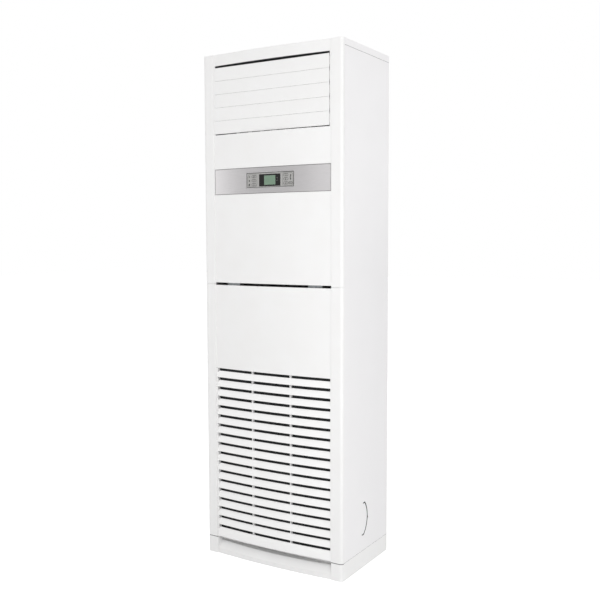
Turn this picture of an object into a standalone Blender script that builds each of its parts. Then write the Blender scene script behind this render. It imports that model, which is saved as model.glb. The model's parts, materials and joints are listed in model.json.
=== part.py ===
# Floor standing air conditioner: a tall cabinet with a bowed front between two posts.
# Metres, +Z up. The front faces -Y, +X is to the right of someone facing it.
# The origin is at the middle of the cabinet's box, on the floor.

import math

import bmesh
import bpy
from mathutils import Matrix, Vector

# Cabinet
WIDTH = 0.564
DEPTH = 0.346
HEIGHT = 1.800
GAP = 0.0003
SHEET = 0.0012
SHEET_FLANGE = 0.016
WELD = 0.00002
TOP_COVER_HEIGHT = 0.0228
PLINTH_HEIGHT = 0.0615

# Front mouldings: two posts with a bowed fascia between them
POST_WIDTH = 0.0428
POST_CORNER = 0.011
POST_CORNER_STEPS = 5
POST_STEP = 0.003
SIDE_RETURN = 0.014
FRONT_WALL = 0.0035
BOW_PROUD = 0.0075
BOW_STEPS = 20
SPLIT_HEIGHT = 0.9938
SPLIT_SEAM = 0.0009
SEAM_DEPTH = 0.0020
FINGER_SLOT = 0.009
FINGER_SLOT_END = 0.002

# Catches inside the finger slot, which hold the lower front panel
CATCH_SETIN = 0.070
CATCH_WIDTH = 0.054
CATCH_THICKNESS = 0.0015
CATCH_LEG = 0.020
CATCH_RISE = 0.004
CATCH_REACH = 0.0165
CATCH_DROP = 0.012

# Plinth with a toe recess under the front panel
LIP_HEIGHT = 0.016
TOE_DEPTH = 0.040
TOE_BACK_HEIGHT = 0.0315
TOE_END = 0.002
PLINTH_WALL = 0.003
PLINTH_SEAM = 0.0020
PLINTH_SEAM_DEPTH = 0.005

# Air outlet, set down from the top, and its tilting vanes
OUTLET_END = 0.0065
OUTLET_TOP_MARGIN = 0.039
OUTLET_HEIGHT = 0.2408
VANE_COUNT = 5
VANE_LOW_CLEARANCE = 0.003
VANE_HIGH_CLEARANCE = 0.007
VANE_END_CLEARANCE = 0.0012
VANE_JOINT_GAP = 0.0005
VANE_FACE_DEPTH = 0.0005
VANE_EDGE = 0.0022
VANE_AXIS_DEPTH = 0.011
VANE_HUMP = 0.0015
VANE_HUMP_HEIGHT = 0.026
VANE_SPINE = 0.0035
VANE_SPINE_HEIGHT = 0.008
VANE_CHAMFER = 0.0003
VANE_PIN_RADIUS = 0.0022
VANE_PIN_LENGTH = 0.0037
PIN_SIDES = 16

# Duct behind the outlet
DUCT_WALL = 0.003
DUCT_BACK = 0.110
DEFLECTOR_COUNT = 9
DEFLECTOR_FRONT = 0.044
DEFLECTOR_DEPTH = 0.050
DEFLECTOR_THICKNESS = 0.0018
DEFLECTOR_BAR = 0.006

# Intake grille
SLOT_COUNT = 18
SLOT_PITCH = 0.03409
SLOT_HEIGHT = 0.0115
LOWEST_SLOT = 0.09765
SLAT_LIP = 0.004
SLAT_LEAN = 0.007
SLAT_THICKNESS = 0.0024
SILL_LIP_TOP = 0.0857
SILL_LEAN = 0.005
SILL_CHAMFER = 0.003
SLOT_END_WIDTH = 0.003
SLOT_END_DROP = 0.007
RAIL_WIDTH = 0.0044
RAIL_DEPTH = 0.016
RAIL_REACH = 0.0018
RIB_OFFSET = 0.079
RIB_WIDTH = 0.0026
RIB_FRONT = 0.004
TOP_RAIL_HEIGHT = 0.016
TOP_RAIL_LAP = 0.0012

# Air filters behind the grille
FILTER_THICKNESS = 0.005
FILTER_MESH = 0.0010
FILTER_BORDER = 0.009
FILTER_RIB = 0.005
FILTER_COLUMNS = 2
FILTER_ROWS = 6

# Silver band below the outlet, with the control panel, the display bezel and the display
BAND_BELOW_OUTLET = 0.1203
BAND_HEIGHT = 0.0903
BAND_END = 0.002
BAND_RECESS = 0.0022
BAND_FACE = 0.0009
BAND_THICKNESS = 0.0010
PANEL_LEFT = -0.093
PANEL_RIGHT = 0.099
PANEL_UP = 0.0199
PANEL_HEIGHT = 0.0516
PANEL_FACE = 0.0005
PANEL_SEAM = 0.0012
BEZEL_LEFT = -0.0402
BEZEL_RIGHT = 0.0462
BEZEL_UP = 0.0040
BEZEL_HEIGHT = 0.041
BEZEL_FACE = 0.0004
LCD_LEFT = -0.0201
LCD_RIGHT = 0.0261
LCD_MARGIN = 0.0048
LCD_FACE = 0.0010

# Knock-outs for the pipes: an arched slit with a tab in its middle and both ends turned in
KNOCKOUT_RADIUS = 0.080
KNOCKOUT_HEIGHT = 0.1785
KNOCKOUT_SETBACK = 0.105
KNOCKOUT_SLIT = 0.0035
KNOCKOUT_TURN = math.radians(-4)
KNOCKOUT_SPAN = math.radians(45.5)
KNOCKOUT_TAB = math.radians(2.2)
KNOCKOUT_RELIEF = 0.002
KNOCKOUT_RELIEF_SPAN = math.radians(2.2)
KNOCKOUT_HOOK = 0.014
KNOCKOUT_STEPS = 10
REAR_KNOCKOUT_HEIGHT = 0.260

# Rear sheet's upright stiffening beads, pressed inwards
BEAD_OFFSET = 0.165
BEAD_WIDTH = 0.022
BEAD_DEPTH = 0.003
BEAD_END = 0.110

# Heat exchanger and drain pan
COIL_THICKNESS = 0.038
COIL_LENGTH = 0.520
COIL_LEAN = math.radians(22)
COIL_BELOW_OUTLET = 0.481
COIL_BASE_DEPTH = 0.085
COIL_END_PLATE = 0.0015
COIL_END_SPACE = 0.018
COIL_PLATE_MARGIN = 0.006
TUBE_RADIUS = 0.0048
TUBE_SIDES = 8
TUBE_ROWS = 10
PAN_HEIGHT = 0.034
PAN_WALL = 0.002
PAN_FRONT = 0.045
PAN_BACK = 0.170

# Worked out from the above
HALF_WIDTH = WIDTH / 2
FRONT_Y = -(DEPTH + BOW_PROUD) / 2
POST_Y = FRONT_Y + BOW_PROUD
REAR_Y = POST_Y + DEPTH
FASCIA_HALF = HALF_WIDTH - POST_WIDTH
RETURN_Y = POST_Y + SIDE_RETURN
OUTLET_HALF = FASCIA_HALF - OUTLET_END
FASCIA_END_Y = POST_Y + POST_STEP
OUTLET_HIGH = HEIGHT - OUTLET_TOP_MARGIN
OUTLET_LOW = OUTLET_HIGH - OUTLET_HEIGHT
VANE_PITCH = (OUTLET_HIGH - OUTLET_LOW - VANE_LOW_CLEARANCE - VANE_HIGH_CLEARANCE) / VANE_COUNT
VANE_AXIS_Y = POST_Y + VANE_FACE_DEPTH + VANE_AXIS_DEPTH
GRILLE_TOP = LOWEST_SLOT + SLOT_PITCH * (SLOT_COUNT - 1) + SLOT_HEIGHT
COVER_LOW = HEIGHT - TOP_COVER_HEIGHT
BAND_HIGH = OUTLET_LOW - BAND_BELOW_OUTLET
BAND_LOW = BAND_HIGH - BAND_HEIGHT
PANEL_LOW = BAND_LOW + PANEL_UP
PANEL_HIGH = PANEL_LOW + PANEL_HEIGHT
BEZEL_LOW = PANEL_LOW + BEZEL_UP
BEZEL_HIGH = BEZEL_LOW + BEZEL_HEIGHT
COIL_BASE_HEIGHT = OUTLET_LOW - COIL_BELOW_OUTLET

COLOURS = {
    "white_abs": ((0.85, 0.86, 0.86), 0.35, 0.0),
    "white_steel": ((0.83, 0.84, 0.84), 0.40, 0.0),
    "silver_band": ((0.55, 0.55, 0.56), 0.35, 0.8),
    "grey_overlay": ((0.45, 0.45, 0.44), 0.45, 0.3),
    "black_gloss": ((0.02, 0.02, 0.02), 0.20, 0.0),
    "lcd_green": ((0.20, 0.29, 0.21), 0.25, 0.0),
    "dark_mesh": ((0.03, 0.03, 0.035), 0.80, 0.0),
    "grey_plastic": ((0.25, 0.26, 0.27), 0.50, 0.0),
    "aluminium": ((0.62, 0.64, 0.65), 0.40, 1.0),
    "galvanised": ((0.50, 0.52, 0.53), 0.45, 0.9),
}


def clear_scene():
    for old in list(bpy.data.objects):
        bpy.data.objects.remove(old)


def add_collection(name):
    made = bpy.data.collections.new(name)
    bpy.context.scene.collection.children.link(made)
    return made


def make_material(name):
    colour, roughness, metallic = COLOURS[name]
    made = bpy.data.materials.new(name)
    made.use_nodes = True
    shader = made.node_tree.nodes["Principled BSDF"]
    shader.inputs["Base Color"].default_value = (*colour, 1.0)
    shader.inputs["Roughness"].default_value = roughness
    shader.inputs["Metallic"].default_value = metallic
    return made


clear_scene()
PARTS = add_collection("floor_standing_air_conditioner")
CUTTERS = add_collection("cutters")
MATERIALS = {name: make_material(name) for name in COLOURS}


def finish_mesh(mesh):
    """Welds the caps to the walls and turns every face outwards."""
    work = bmesh.new()
    work.from_mesh(mesh)
    bmesh.ops.remove_doubles(work, verts=work.verts, dist=1e-6)
    bmesh.ops.recalc_face_normals(work, faces=work.faces)
    work.to_mesh(mesh)
    work.free()


def add_object(name, mesh, matrix=None):
    made = bpy.data.objects.new(name, mesh)
    if matrix is not None:
        made.matrix_world = matrix
    CUTTERS.objects.link(made)
    made.hide_render = True
    made.display_type = "WIRE"
    return made


def as_part(made, material):
    """Moves a finished shape from the helpers to the parts, welds its cuts and gives it its material."""
    CUTTERS.objects.unlink(made)
    PARTS.objects.link(made)
    made.hide_render = False
    made.display_type = "TEXTURED"
    weld = made.modifiers.new("weld", "WELD")
    weld.merge_threshold = WELD
    made.data.materials.append(MATERIALS[material])
    made.data.shade_smooth()
    made.data.set_sharp_from_angle(angle=math.radians(30))
    return made


# Which way a flat outline is extruded: the outline's own x and y go to the first two columns.
FACING = {
    "Z": Matrix(((1, 0, 0), (0, 1, 0), (0, 0, 1))),
    "X": Matrix(((0, 0, 1), (1, 0, 0), (0, 1, 0))),
    "Y": Matrix(((1, 0, 0), (0, 0, -1), (0, 1, 0))),
}


def extrude_outlines(name, outlines, low, high, along="Z"):
    """A 2D curve of one or more outlines, made thick from low to high along an axis, as a mesh."""
    curve = bpy.data.curves.new(name, "CURVE")
    curve.dimensions = "2D"
    curve.fill_mode = "BOTH"
    curve.extrude = (high - low) / 2
    for outline in outlines:
        spline = curve.splines.new("POLY")
        spline.points.add(len(outline) - 1)
        for point, (first, second) in zip(spline.points, outline):
            point.co = (first, second, 0, 1)
        spline.use_cyclic_u = True
    holder = bpy.data.objects.new(name, curve)
    turn = FACING[along]
    holder.matrix_world = Matrix.Translation(turn @ Vector((0, 0, (low + high) / 2))) @ turn.to_4x4()
    CUTTERS.objects.link(holder)
    bpy.context.view_layer.update()
    graph = bpy.context.evaluated_depsgraph_get()
    mesh = bpy.data.meshes.new_from_object(holder.evaluated_get(graph))
    mesh.name = name
    matrix = holder.matrix_world.copy()
    bpy.data.objects.remove(holder)
    finish_mesh(mesh)
    return add_object(name, mesh, matrix)


def add_boxes(name, boxes):
    """One mesh of separate boxes, each given by its lowest and highest corner."""
    work = bmesh.new()
    for low, high in boxes:
        low, high = Vector(low), Vector(high)
        size = Matrix.Diagonal((*(high - low), 1))
        bmesh.ops.create_cube(work, size=1, matrix=Matrix.Translation((low + high) / 2) @ size)
    mesh = bpy.data.meshes.new(name)
    work.to_mesh(mesh)
    work.free()
    return add_object(name, mesh)


def add_rods(name, rods, radius, sides=PIN_SIDES):
    """One mesh of separate round rods along X, each given by its ends' x and its y and z."""
    work = bmesh.new()
    for start, end, across, up in rods:
        place = Matrix.Translation(((start + end) / 2, across, up)) @ Matrix.Rotation(math.pi / 2, 4, "Y")
        bmesh.ops.create_cone(
            work, cap_ends=True, segments=sides, radius1=radius, radius2=radius,
            depth=end - start, matrix=place,
        )
    mesh = bpy.data.meshes.new(name)
    work.to_mesh(mesh)
    work.free()
    return add_object(name, mesh)


def combine(target, operation, helper):
    change = target.modifiers.new(helper.name, "BOOLEAN")
    change.operation = operation
    change.solver = "EXACT"
    change.object = helper
    return target


def cut(target, helper):
    return combine(target, "DIFFERENCE", helper)


def fuse(target, helper):
    return combine(target, "UNION", helper)


class Bow:
    """The arc that the front follows in plan, between the posts, cut into equal facets."""

    def __init__(self, proud, step):
        self.front = POST_Y - proud
        sagitta = proud + step
        self.radius = (FASCIA_HALF ** 2 + sagitta ** 2) / (2 * sagitta)
        self.centre = self.front + self.radius

    def depth_at(self, across):
        """The y of the arc at this x."""
        return self.centre - math.sqrt(self.radius ** 2 - across ** 2)

    def angles(self, left, right):
        """The angles of the facet lines between two places along the arc, and of those places."""
        reach = math.asin(FASCIA_HALF / self.radius)
        start = math.asin(left / self.radius)
        end = math.asin(right / self.radius)
        facet = 2 * reach / BOW_STEPS
        lines = [facet * step - reach for step in range(BOW_STEPS + 1)]
        inside = [line for line in lines if start + facet / 4 < line < end - facet / 4]
        return [start, *inside, end]

    def points(self, half, inset=0.0):
        """The arc's points from left to right, moved straight back by the inset."""
        return [
            (self.radius * math.sin(angle), self.centre - self.radius * math.cos(angle) + inset)
            for angle in self.angles(-half, half)
        ]

    def sweep(self, name, profiles, left, right):
        """Closed profiles of (depth behind the arc, height), each swept along it from left to right."""
        angles = self.angles(left, right)
        hub = (0, self.centre, 0)
        work = bmesh.new()
        for profile in profiles:
            ring = [work.verts.new((0, self.front + back, up)) for back, up in profile]
            face = work.faces.new(ring)
            bmesh.ops.rotate(work, verts=ring, cent=hub, matrix=Matrix.Rotation(angles[0], 3, "Z"))
            section = [face, *face.edges, *ring]
            for before, after in zip(angles, angles[1:]):
                swept = bmesh.ops.spin(
                    work, geom=section, cent=hub, axis=(0, 0, 1), angle=after - before, steps=1,
                )
                section = swept["geom_last"]
        mesh = bpy.data.meshes.new(name)
        work.to_mesh(mesh)
        work.free()
        finish_mesh(mesh)
        return add_object(name, mesh)

    def plate(self, name, left, right, low, high, front, back):
        """A curved plate between two depths behind the arc."""
        profile = [(front, low), (back, low), (back, high), (front, high)]
        return self.sweep(name, [profile], left, right)


FRONT_BOW = Bow(BOW_PROUD, POST_STEP)


def corner_arc(inset):
    """The right post's outer corner, from its front face round to its side."""
    radius = POST_CORNER - inset
    centre = (HALF_WIDTH - POST_CORNER, POST_Y + POST_CORNER)
    turns = [math.pi / 2 * (step / POST_CORNER_STEPS - 1) for step in range(POST_CORNER_STEPS + 1)]
    return [(centre[0] + radius * math.cos(turn), centre[1] + radius * math.sin(turn)) for turn in turns]


def front_plan(inset, back):
    """The outline of posts and bowed fascia in plan, closed by a straight line at the back."""
    middle = FRONT_BOW.points(FASCIA_HALF, inset)
    step_x = FASCIA_HALF + inset
    end_y = middle[-1][1]
    right = [(step_x, end_y), (step_x, POST_Y + inset), *corner_arc(inset)]
    right.append((HALF_WIDTH - inset, back))
    if inset == 0:
        right = right[1:]
    left = [(-across, depth) for across, depth in reversed(right)]
    return left + middle + right


def front_shell(name, low, high, cavity_high):
    """A front moulding: the plan extruded, hollowed from behind and below."""
    shell = extrude_outlines(name, [front_plan(0, RETURN_Y)], low, high)
    beyond = RETURN_Y + SIDE_RETURN
    cavity_plan = front_plan(FRONT_WALL, beyond)
    cavity = extrude_outlines(name + "_cavity", [cavity_plan], low - SHEET, cavity_high)
    return cut(shell, cavity)


def stepped_profile(front, reach, thickness, low, step, high):
    """A bent strip: down behind the front wall, back by the reach at the step, and down again."""
    back = front + reach
    return [
        (front, high), (front, step), (back, step), (back, low),
        (back + thickness, low), (back + thickness, step + thickness),
        (front + thickness, step + thickness), (front + thickness, high),
    ]


def cut_seam(moulding, low, high, depth):
    """Cuts a rebate into the front of a moulding, round both posts."""
    name = moulding.name + "_seam"
    ahead = FRONT_Y - POST_STEP
    slab = add_boxes(name, [((-WIDTH, ahead, low), (WIDTH, RETURN_Y + SEAM_DEPTH, high))])
    core_plan = front_plan(depth, RETURN_Y + SIDE_RETURN)
    core = extrude_outlines(name + "_core", [core_plan], low - SEAM_DEPTH, high + SEAM_DEPTH)
    return cut(moulding, cut(slab, core))


def make_plinth():
    back_wall = REAR_Y - PLINTH_WALL
    plinth = extrude_outlines("base_plinth", [front_plan(0, REAR_Y)], 0, PLINTH_HEIGHT)
    above = PLINTH_HEIGHT + PLINTH_WALL
    toe_front = FRONT_Y - TOE_DEPTH
    toe_back = FRONT_Y + TOE_DEPTH
    slope = [
        (toe_front, above), (toe_front, 2 * LIP_HEIGHT - TOE_BACK_HEIGHT),
        (toe_back, TOE_BACK_HEIGHT), (toe_back, above),
    ]
    toe_half = FASCIA_HALF - TOE_END
    cut(plinth, extrude_outlines("toe_recess", [slope], -toe_half, toe_half, "X"))
    tray_half = HALF_WIDTH - PLINTH_WALL
    tray = ((-tray_half, toe_back + PLINTH_WALL, PLINTH_WALL), (tray_half, back_wall, above))
    cut(plinth, add_boxes("plinth_tray", [tray]))
    cut_seam(plinth, PLINTH_HEIGHT - PLINTH_SEAM, above, PLINTH_SEAM_DEPTH)
    as_part(plinth, "white_abs")


def knockout_outlines(centre_across, centre_up):
    """The slit's two stretches, one each side of the tab that holds the knock-out."""
    outer = KNOCKOUT_RADIUS + KNOCKOUT_SLIT / 2
    inner = KNOCKOUT_RADIUS - KNOCKOUT_SLIT / 2
    relief = outer + KNOCKOUT_RELIEF
    outlines = []
    for side in (1, -1):
        start = KNOCKOUT_TAB + side * KNOCKOUT_TURN
        notch = start + KNOCKOUT_RELIEF_SPAN
        end = KNOCKOUT_SPAN + side * KNOCKOUT_TURN
        hook_across = outer * math.cos(end) - KNOCKOUT_HOOK
        hook_up = outer * math.sin(end)
        inner_end = math.asin((hook_up - KNOCKOUT_SLIT) / inner)
        shares = [step / KNOCKOUT_STEPS for step in range(KNOCKOUT_STEPS + 1)]
        ring = [(relief * math.cos(turn), relief * math.sin(turn)) for turn in (start, notch)]
        outward = [notch + (end - notch) * share for share in shares]
        ring += [(outer * math.cos(turn), outer * math.sin(turn)) for turn in outward]
        ring += [(hook_across, hook_up), (hook_across, hook_up - KNOCKOUT_SLIT)]
        inward = [inner_end + (start - inner_end) * share for share in shares]
        ring += [(inner * math.cos(turn), inner * math.sin(turn)) for turn in inward]
        outlines.append([(centre_across + across, centre_up + side * up) for across, up in ring])
    return outlines


def make_side_panel(name, side):
    """A folded steel side with a flange at each upright edge."""
    front = RETURN_Y + GAP
    inner = HALF_WIDTH - SHEET
    lip = HALF_WIDTH - SHEET_FLANGE
    section = [
        (HALF_WIDTH, front), (HALF_WIDTH, REAR_Y), (lip, REAR_Y), (lip, REAR_Y - SHEET),
        (inner, REAR_Y - SHEET), (inner, front + SHEET), (lip, front + SHEET), (lip, front),
    ]
    section = [(side * across, depth) for across, depth in section]
    panel = extrude_outlines(name, [section], PLINTH_HEIGHT + GAP, COVER_LOW - GAP)
    slit = extrude_outlines(
        name + "_slit", knockout_outlines(POST_Y + KNOCKOUT_SETBACK, KNOCKOUT_HEIGHT),
        -SHEET, SHEET, "X",
    )
    slit.location.x = side * (HALF_WIDTH - SHEET / 2)
    as_part(cut(panel, slit), "white_steel")


def bead_outlines(face):
    """The two beads in plan, each a trapezoid that narrows inwards from a face of the sheet."""
    outlines = []
    for middle in (-BEAD_OFFSET, BEAD_OFFSET):
        half = BEAD_WIDTH / 2
        floor = half - BEAD_DEPTH
        outlines.append([
            (middle - half, face + SHEET / 2), (middle + half, face + SHEET / 2), (middle + half, face),
            (middle + floor, face - BEAD_DEPTH), (middle - floor, face - BEAD_DEPTH), (middle - half, face),
        ])
    return outlines


def make_rear_panel():
    """The back sheet, lapped inside the flanges of the two sides, with two upright beads."""
    back = REAR_Y - SHEET - GAP
    half = HALF_WIDTH - SHEET - GAP
    low = PLINTH_HEIGHT + GAP
    high = COVER_LOW + TOP_COVER_HEIGHT / 2
    panel = add_boxes("rear_panel", [((-half, back - SHEET, low), (half, back, high))])
    bead_low = low + BEAD_END
    bead_high = high - BEAD_END
    backs = bead_outlines(back - SHEET)
    fuse(panel, extrude_outlines("rear_bead_backs", backs, bead_low - SHEET, bead_high + SHEET))
    cut(panel, extrude_outlines("rear_bead_hollows", bead_outlines(back), bead_low, bead_high))
    slit = extrude_outlines(
        "rear_panel_slit", knockout_outlines(0, REAR_KNOCKOUT_HEIGHT), -SHEET, SHEET, "Y",
    )
    slit.location.y = back - SHEET / 2
    as_part(cut(panel, slit), "white_steel")


def make_top_cover():
    front = RETURN_Y + GAP
    cover = add_boxes("top_cover", [((-HALF_WIDTH, front, COVER_LOW), (HALF_WIDTH, REAR_Y, HEIGHT))])
    half = HALF_WIDTH - SHEET
    inside = ((-half, front + SHEET, COVER_LOW - SHEET), (half, REAR_Y - SHEET, HEIGHT - SHEET))
    as_part(cut(cover, add_boxes("top_cover_inside", [inside])), "white_steel")


def make_upper_front():
    low = SPLIT_HEIGHT + GAP / 2
    panel = front_shell("upper_front_panel", low, HEIGHT, HEIGHT - FRONT_WALL)
    ahead = FRONT_Y - POST_STEP
    slot_half = FASCIA_HALF - FINGER_SLOT_END
    outlet = ((-OUTLET_HALF, ahead, OUTLET_LOW), (OUTLET_HALF, RETURN_Y, OUTLET_HIGH))
    slot_high = SPLIT_HEIGHT + FINGER_SLOT / 2
    slot = ((-slot_half, ahead, SPLIT_HEIGHT - FINGER_SLOT), (slot_half, RETURN_Y, slot_high))
    cut(panel, add_boxes("upper_front_openings", [outlet, slot]))
    band_half = FASCIA_HALF - BAND_END
    recess = FRONT_BOW.plate(
        "band_recess", -band_half, band_half, BAND_LOW, BAND_HIGH, -BAND_RECESS, BAND_RECESS,
    )
    as_part(cut(panel, recess), "white_abs")


def make_lower_front():
    low = PLINTH_HEIGHT + GAP
    high = SPLIT_HEIGHT - GAP / 2
    panel = front_shell("lower_front_panel", low, high, high + SHEET)
    ahead = FRONT_Y - POST_STEP
    slot_half = FASCIA_HALF - FINGER_SLOT_END
    slot = (
        (-slot_half, ahead, SPLIT_HEIGHT - FINGER_SLOT / 2), (slot_half, RETURN_Y, high + FINGER_SLOT),
    )
    intake = ((-FASCIA_HALF, ahead, low - FINGER_SLOT), (FASCIA_HALF, RETURN_Y, GRILLE_TOP))
    cut(panel, add_boxes("lower_front_openings", [slot, intake]))
    cut_seam(panel, high - SPLIT_SEAM, high + SHEET, SEAM_DEPTH)
    as_part(panel, "white_abs")


def make_catches():
    """A bent steel catch at each side of the finger slot, seated behind the upper front panel."""
    front = FRONT_WALL + GAP
    step = SPLIT_HEIGHT + FINGER_SLOT / 2 + CATCH_RISE
    for name, side in (("panel_catch_left", -1), ("panel_catch_right", 1)):
        middle = side * (FASCIA_HALF - CATCH_SETIN)
        profile = stepped_profile(
            front, CATCH_REACH, CATCH_THICKNESS, SPLIT_HEIGHT - CATCH_DROP, step, step + CATCH_LEG,
        )
        catch = FRONT_BOW.sweep(name, [profile], middle - CATCH_WIDTH / 2, middle + CATCH_WIDTH / 2)
        as_part(catch, "galvanised")


def slat_profile(bottom):
    """A leaning slat with a short upright lip along its lower front edge."""
    top = bottom + SLOT_PITCH - SLOT_HEIGHT
    return [
        (0, bottom), (SLAT_THICKNESS, bottom), (SLAT_THICKNESS, bottom + SLAT_LIP),
        (SLAT_LEAN + SLAT_THICKNESS, top), (SLAT_LEAN, top), (0, bottom + SLAT_LIP),
    ]


def make_grille():
    """Slats swept along the bow between two rails. Each slot turns down a little at both its ends."""
    low = PLINTH_HEIGHT + GAP
    end = FASCIA_HALF - GAP
    inner = end - RAIL_WIDTH
    behind_front = GRILLE_TOP + TOP_RAIL_HEIGHT
    rails = []
    for side in (1, -1):
        spots = [(across, FRONT_BOW.depth_at(across) + GAP) for across in (inner, end)]
        corners = spots + [(across, FASCIA_END_Y + RAIL_DEPTH) for across in (end, inner)]
        rails.append([(side * across, depth) for across, depth in corners])
    grille = extrude_outlines("intake_grille", rails, low, GRILLE_TOP - GAP)
    sill = [
        (0, low + SILL_CHAMFER), (SILL_CHAMFER, low), (SILL_CHAMFER + SLAT_THICKNESS, low),
        (SLAT_THICKNESS, low + SILL_CHAMFER), (SLAT_THICKNESS, SILL_LIP_TOP),
        (SILL_LEAN + SLAT_THICKNESS, LOWEST_SLOT), (SILL_LEAN, LOWEST_SLOT), (0, SILL_LIP_TOP),
    ]
    tuck = FRONT_WALL + GAP
    shelf = GRILLE_TOP - GAP - TOP_RAIL_LAP
    shelf_back = RAIL_DEPTH - SLAT_THICKNESS
    top_rail = [
        (tuck, shelf), (shelf_back, shelf), (shelf_back, shelf + SLAT_THICKNESS),
        (tuck + SLAT_THICKNESS, shelf + SLAT_THICKNESS), (tuck + SLAT_THICKNESS, behind_front),
        (tuck, behind_front),
    ]
    slats = [slat_profile(LOWEST_SLOT + SLOT_HEIGHT + SLOT_PITCH * row) for row in range(SLOT_COUNT - 1)]
    reach = inner + RAIL_REACH
    fuse(grille, FRONT_BOW.sweep("grille_slats", [sill, top_rail, *slats], -reach, reach))
    ribs = []
    for side in (1, -1):
        rib_front = FRONT_BOW.depth_at(RIB_OFFSET) + RIB_FRONT
        left = side * RIB_OFFSET - RIB_WIDTH / 2
        ribs.append((
            (left, rib_front, low + SLAT_LIP),
            (left + RIB_WIDTH, rib_front + RAIL_DEPTH - RIB_FRONT, GRILLE_TOP - GAP),
        ))
    fuse(grille, add_boxes("grille_ribs", ribs))
    slot_ends = []
    for row in range(SLOT_COUNT):
        slot_low = LOWEST_SLOT + SLOT_PITCH * row
        slot_middle = slot_low + SLOT_HEIGHT / 2
        for side in (1, -1):
            near = side * (inner - SLOT_END_WIDTH)
            slot_ends.append([
                (near, slot_low), (near, slot_middle),
                (side * inner, slot_middle), (side * inner, slot_low - SLOT_END_DROP),
            ])
    grille_back = FASCIA_END_Y + RAIL_DEPTH
    cut(grille, extrude_outlines("slot_ends", slot_ends, -grille_back, SHEET - FRONT_Y, "Y"))
    as_part(grille, "white_abs")


def make_filters():
    """Two filters side by side behind the grille: a ribbed frame with a mesh across its back."""
    front = FASCIA_END_Y + RAIL_DEPTH + GAP
    back = front + FILTER_THICKNESS
    low = PLINTH_HEIGHT + GAP
    high = GRILLE_TOP + TOP_RAIL_HEIGHT
    width = FASCIA_HALF - GAP
    for name, left in (("air_filter_left", -width), ("air_filter_right", GAP)):
        right = left + width - GAP
        frame = add_boxes(name, [((left, front, low), (right, back, high))])
        cell_width = (right - left - 2 * FILTER_BORDER + FILTER_RIB) / FILTER_COLUMNS
        cell_height = (high - low - 2 * FILTER_BORDER + FILTER_RIB) / FILTER_ROWS
        cells = []
        for column in range(FILTER_COLUMNS):
            for row in range(FILTER_ROWS):
                across = left + FILTER_BORDER + column * cell_width
                up = low + FILTER_BORDER + row * cell_height
                cells.append((
                    (across, front - FILTER_MESH, up),
                    (across + cell_width - FILTER_RIB, back - FILTER_MESH, up + cell_height - FILTER_RIB),
                ))
        as_part(cut(frame, add_boxes(name + "_cells", cells)), "dark_mesh")


def make_controls():
    """The silver band, the control panel in its window, and the display in the panel's window."""
    floor = BAND_RECESS - GAP
    through = (-BAND_RECESS, BAND_RECESS + BAND_THICKNESS)
    band_half = FASCIA_HALF - BAND_END - GAP
    band = FRONT_BOW.plate(
        "control_band", -band_half, band_half, BAND_LOW + GAP, BAND_HIGH - GAP,
        BAND_FACE, BAND_FACE + BAND_THICKNESS,
    )
    window = FRONT_BOW.plate(
        "band_window", PANEL_LEFT - PANEL_SEAM, PANEL_RIGHT + PANEL_SEAM,
        PANEL_LOW - PANEL_SEAM, PANEL_HIGH + PANEL_SEAM, *through,
    )
    as_part(cut(band, window), "silver_band")
    panel = FRONT_BOW.plate(
        "control_panel", PANEL_LEFT, PANEL_RIGHT, PANEL_LOW, PANEL_HIGH, PANEL_FACE, floor,
    )
    hole = FRONT_BOW.plate(
        "panel_window", BEZEL_LEFT - GAP, BEZEL_RIGHT + GAP, BEZEL_LOW - GAP, BEZEL_HIGH + GAP, *through,
    )
    as_part(cut(panel, hole), "grey_overlay")
    bezel = FRONT_BOW.plate(
        "display_bezel", BEZEL_LEFT, BEZEL_RIGHT, BEZEL_LOW, BEZEL_HIGH, BEZEL_FACE, floor,
    )
    lcd_low = BEZEL_LOW + LCD_MARGIN
    lcd_high = BEZEL_HIGH - LCD_MARGIN
    hole = FRONT_BOW.plate(
        "bezel_window", LCD_LEFT - GAP, LCD_RIGHT + GAP, lcd_low - GAP, lcd_high + GAP, *through,
    )
    as_part(cut(bezel, hole), "black_gloss")
    display = FRONT_BOW.plate("display_window", LCD_LEFT, LCD_RIGHT, lcd_low, lcd_high, LCD_FACE, floor)
    as_part(display, "lcd_green")


def make_vane(number):
    """One tilting vane, flat in front, with a spine along its back and a pin at each end."""
    axis_z = OUTLET_LOW + VANE_LOW_CLEARANCE + VANE_PITCH * (number - 0.5)
    half = (VANE_PITCH - VANE_JOINT_GAP) / 2
    front = -VANE_AXIS_DEPTH
    edge = front + VANE_EDGE
    upper = [
        (front, half - VANE_CHAMFER), (front + VANE_CHAMFER, half), (edge, half),
        (edge + VANE_HUMP, VANE_HUMP_HEIGHT / 2), (VANE_SPINE, VANE_SPINE_HEIGHT / 2),
    ]
    section = [(depth, -up) for depth, up in upper] + [(depth, up) for depth, up in reversed(upper)]
    length = OUTLET_HALF - VANE_END_CLEARANCE
    pin_end = length + VANE_PIN_LENGTH
    vane = extrude_outlines(f"vane_{number}", [section], -length, length, "X")
    inside = length - VANE_PIN_LENGTH
    pins = add_rods(
        f"vane_{number}_pins", [(-pin_end, -inside, 0, 0), (inside, pin_end, 0, 0)], VANE_PIN_RADIUS,
    )
    fuse(vane, pins)
    as_part(vane, "white_abs")
    axis = bpy.data.objects.new(f"vane_{number}_axis", None)
    PARTS.objects.link(axis)
    axis.location = (0, VANE_AXIS_Y, axis_z)
    vane.parent = axis
    pins.parent = axis


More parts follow.
